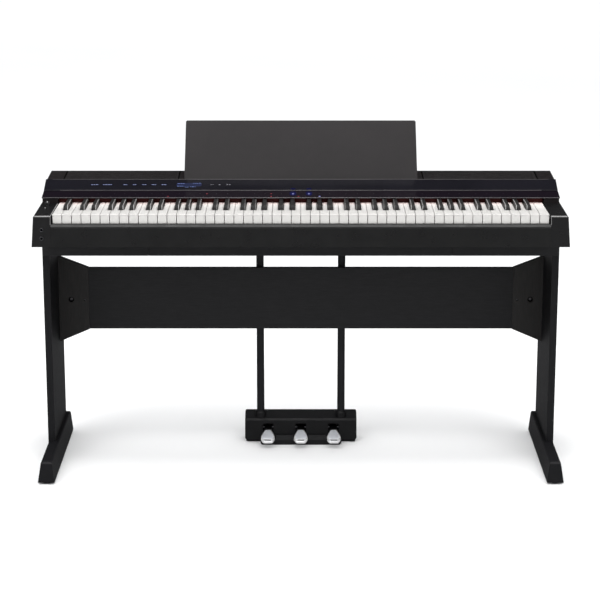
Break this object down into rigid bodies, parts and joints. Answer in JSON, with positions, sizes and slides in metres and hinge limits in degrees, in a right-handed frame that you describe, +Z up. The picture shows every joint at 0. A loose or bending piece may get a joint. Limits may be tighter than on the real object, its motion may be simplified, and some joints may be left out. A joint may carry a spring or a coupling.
{
  "type": "digital piano on stand",
  "caption": "Slim full-size digital piano on a two-leg board stand, with a lift-off music rest, weighted keys, a back board and a hanging pedal unit.",
  "frame": {"origin": "centre of the footprint of the two feet, on the floor", "axes": "+X along the keyboard towards the treble end, +Y from the player towards the back, +Z up"},
  "size_m": [1.329, 0.396, 0.8747],
  "materials": {
    "case_black": "satin moulded black",
    "case_top": "fine-textured black",
    "panel_gloss": "glossy black",
    "light_window": "smoked translucent",
    "grille": "matte perforated black",
    "rest": "satin dark grey",
    "key_white": "satin ivory white",
    "key_black": "matte ebony black",
    "felt_red": "wool felt",
    "chassis_steel": "zinc plated",
    "circuit_board": "solder mask",
    "dome_rubber": "silicone",
    "speaker_black": "paper cone and steel basket",
    "control_black": "satin",
    "control_steel": "plain",
    "socket_black": "moulded",
    "screw_steel": "black zinc",
    "board_black": "black laminated board",
    "glide_rubber": "matte",
    "pedal_box_black": "fine-textured black",
    "pedal_chrome": "polished",
    "rod_black": "satin black paint"
  },
  "bodies": {
    "root": {"bottom_case": "case_black", "front_rail": "case_black", "left_cheek": "case_black", "right_cheek": "case_black", "top_cover": "case_top", "control_panel": "panel_gloss", "light_strip": "light_window", "left_speaker_grille": "grille", "right_speaker_grille": "grille", "rest_holder": "case_top", "key_felt": "felt_red", "key_frame": "chassis_steel", "key_pivot_rod": "chassis_steel", "key_stop_felt": "felt_red", "contact_board": "circuit_board", "contact_domes": "dome_rubber", "main_board": "circuit_board", "left_speaker": "speaker_black", "right_speaker": "speaker_black", "volume_control": "control_steel", "phones_jacks": "socket_black", "rear_jack_panel": "socket_black", "case_screws": "screw_steel", "left_leg": "board_black", "right_leg": "board_black", "left_foot": "board_black", "right_foot": "board_black", "foot_glides": "glide_rubber", "back_board": "board_black", "left_bracket": "board_black", "right_bracket": "board_black", "top_rail": "board_black", "stand_bolts": "screw_steel", "pedal_housing": "pedal_box_black", "pedal_base": "pedal_box_black", "pedal_axle": "chassis_steel", "pedal_rods": "rod_black", "rod_collars": "pedal_box_black"},
    "white_keys_bass": {"white_keys_bass": "key_white"},
    "white_keys_treble": {"white_keys_treble": "key_white"},
    "black_keys_bass": {"black_keys_bass": "key_black"},
    "black_keys_treble": {"black_keys_treble": "key_black"},
    "key_c4": {"key_c4": "key_white"},
    "key_c_sharp4": {"key_c_sharp4": "key_black"},
    "key_d4": {"key_d4": "key_white"},
    "key_d_sharp4": {"key_d_sharp4": "key_black"},
    "key_e4": {"key_e4": "key_white"},
    "key_f4": {"key_f4": "key_white"},
    "key_f_sharp4": {"key_f_sharp4": "key_black"},
    "key_g4": {"key_g4": "key_white"},
    "key_g_sharp4": {"key_g_sharp4": "key_black"},
    "key_a4": {"key_a4": "key_white"},
    "key_a_sharp4": {"key_a_sharp4": "key_black"},
    "key_b4": {"key_b4": "key_white"},
    "soft_pedal": {"soft_pedal": "pedal_chrome"},
    "sostenuto_pedal": {"sostenuto_pedal": "pedal_chrome"},
    "damper_pedal": {"damper_pedal": "pedal_chrome"},
    "volume_knob": {"volume_knob": "control_black"},
    "power_button": {"power_button": "control_black"},
    "music_rest": {"music_rest": "rest"}
  },
  "joints": [
    {"name": "white_keys_bass_press", "type": "hinge", "parent": "root", "child": "white_keys_bass", "pos_m": [0, 0.072, 0.676], "axis": [1, 0, 0], "range_deg": [0, 2.5], "stiffness_Nm_per_rad": 13.8, "springref_deg": -20.05},
    {"name": "white_keys_treble_press", "type": "hinge", "parent": "root", "child": "white_keys_treble", "pos_m": [0, 0.072, 0.676], "axis": [1, 0, 0], "range_deg": [0, 2.5], "stiffness_Nm_per_rad": 13.2, "springref_deg": -20.05},
    {"name": "black_keys_bass_press", "type": "hinge", "parent": "root", "child": "black_keys_bass", "pos_m": [0, 0.072, 0.676], "axis": [1, 0, 0], "range_deg": [0, 3], "stiffness_Nm_per_rad": 8, "springref_deg": -20.05},
    {"name": "black_keys_treble_press", "type": "hinge", "parent": "root", "child": "black_keys_treble", "pos_m": [0, 0.072, 0.676], "axis": [1, 0, 0], "range_deg": [0, 3], "stiffness_Nm_per_rad": 7.5, "springref_deg": -20.05},
    {"name": "key_c4_press", "type": "hinge", "parent": "root", "child": "key_c4", "pos_m": [0, 0.072, 0.676], "axis": [1, 0, 0], "range_deg": [0, 2.5], "stiffness_Nm_per_rad": 0.6, "springref_deg": -20.05},
    {"name": "key_c_sharp4_press", "type": "hinge", "parent": "root", "child": "key_c_sharp4", "pos_m": [0, 0.072, 0.676], "axis": [1, 0, 0], "range_deg": [0, 3], "stiffness_Nm_per_rad": 0.5, "springref_deg": -20.05},
    {"name": "key_d4_press", "type": "hinge", "parent": "root", "child": "key_d4", "pos_m": [0, 0.072, 0.676], "axis": [1, 0, 0], "range_deg": [0, 2.5], "stiffness_Nm_per_rad": 0.6, "springref_deg": -20.05},
    {"name": "key_d_sharp4_press", "type": "hinge", "parent": "root", "child": "key_d_sharp4", "pos_m": [0, 0.072, 0.676], "axis": [1, 0, 0], "range_deg": [0, 3], "stiffness_Nm_per_rad": 0.5, "springref_deg": -20.05},
    {"name": "key_e4_press", "type": "hinge", "parent": "root", "child": "key_e4", "pos_m": [0, 0.072, 0.676], "axis": [1, 0, 0], "range_deg": [0, 2.5], "stiffness_Nm_per_rad": 0.6, "springref_deg": -20.05},
    {"name": "key_f4_press", "type": "hinge", "parent": "root", "child": "key_f4", "pos_m": [0, 0.072, 0.676], "axis": [1, 0, 0], "range_deg": [0, 2.5], "stiffness_Nm_per_rad": 0.6, "springref_deg": -20.05},
    {"name": "key_f_sharp4_press", "type": "hinge", "parent": "root", "child": "key_f_sharp4", "pos_m": [0, 0.072, 0.676], "axis": [1, 0, 0], "range_deg": [0, 3], "stiffness_Nm_per_rad": 0.5, "springref_deg": -20.05},
    {"name": "key_g4_press", "type": "hinge", "parent": "root", "child": "key_g4", "pos_m": [0, 0.072, 0.676], "axis": [1, 0, 0], "range_deg": [0, 2.5], "stiffness_Nm_per_rad": 0.6, "springref_deg": -20.05},
    {"name": "key_g_sharp4_press", "type": "hinge", "parent": "root", "child": "key_g_sharp4", "pos_m": [0, 0.072, 0.676], "axis": [1, 0, 0], "range_deg": [0, 3], "stiffness_Nm_per_rad": 0.5, "springref_deg": -20.05},
    {"name": "key_a4_press", "type": "hinge", "parent": "root", "child": "key_a4", "pos_m": [0, 0.072, 0.676], "axis": [1, 0, 0], "range_deg": [0, 2.5], "stiffness_Nm_per_rad": 0.6, "springref_deg": -20.05},
    {"name": "key_a_sharp4_press", "type": "hinge", "parent": "root", "child": "key_a_sharp4", "pos_m": [0, 0.072, 0.676], "axis": [1, 0, 0], "range_deg": [0, 3], "stiffness_Nm_per_rad": 0.5, "springref_deg": -20.05},
    {"name": "key_b4_press", "type": "hinge", "parent": "root", "child": "key_b4", "pos_m": [0, 0.072, 0.676], "axis": [1, 0, 0], "range_deg": [0, 2.5], "stiffness_Nm_per_rad": 0.6, "springref_deg": -20.05},
    {"name": "soft_pedal_press", "type": "hinge", "parent": "root", "child": "soft_pedal", "pos_m": [0, 0.146, 0.031], "axis": [1, 0, 0], "range_deg": [0, 8], "stiffness_Nm_per_rad": 6, "springref_deg": -14.32},
    {"name": "sostenuto_pedal_press", "type": "hinge", "parent": "root", "child": "sostenuto_pedal", "pos_m": [0, 0.146, 0.031], "axis": [1, 0, 0], "range_deg": [0, 8], "stiffness_Nm_per_rad": 6, "springref_deg": -14.32},
    {"name": "damper_pedal_press", "type": "hinge", "parent": "root", "child": "damper_pedal", "pos_m": [0, 0.146, 0.031], "axis": [1, 0, 0], "range_deg": [0, 8], "stiffness_Nm_per_rad": 6, "springref_deg": -14.32},
    {"name": "volume_turn", "type": "hinge", "parent": "root", "child": "volume_knob", "pos_m": [-0.641, -0.04, 0.695], "axis": [0, 0, 1], "range_deg": [-150, 150]},
    {"name": "power_press", "type": "slide", "parent": "root", "child": "power_button", "axis": [0, 0, -1], "range_m": [0, 0.0015], "stiffness_N_per_m": 800, "springref_m": -0.002},
    {"name": "rest_lift", "type": "slide", "parent": "root", "child": "music_rest", "axis": [0, 0.342, 0.9397], "range_m": [0, 0.06]}
  ]
}
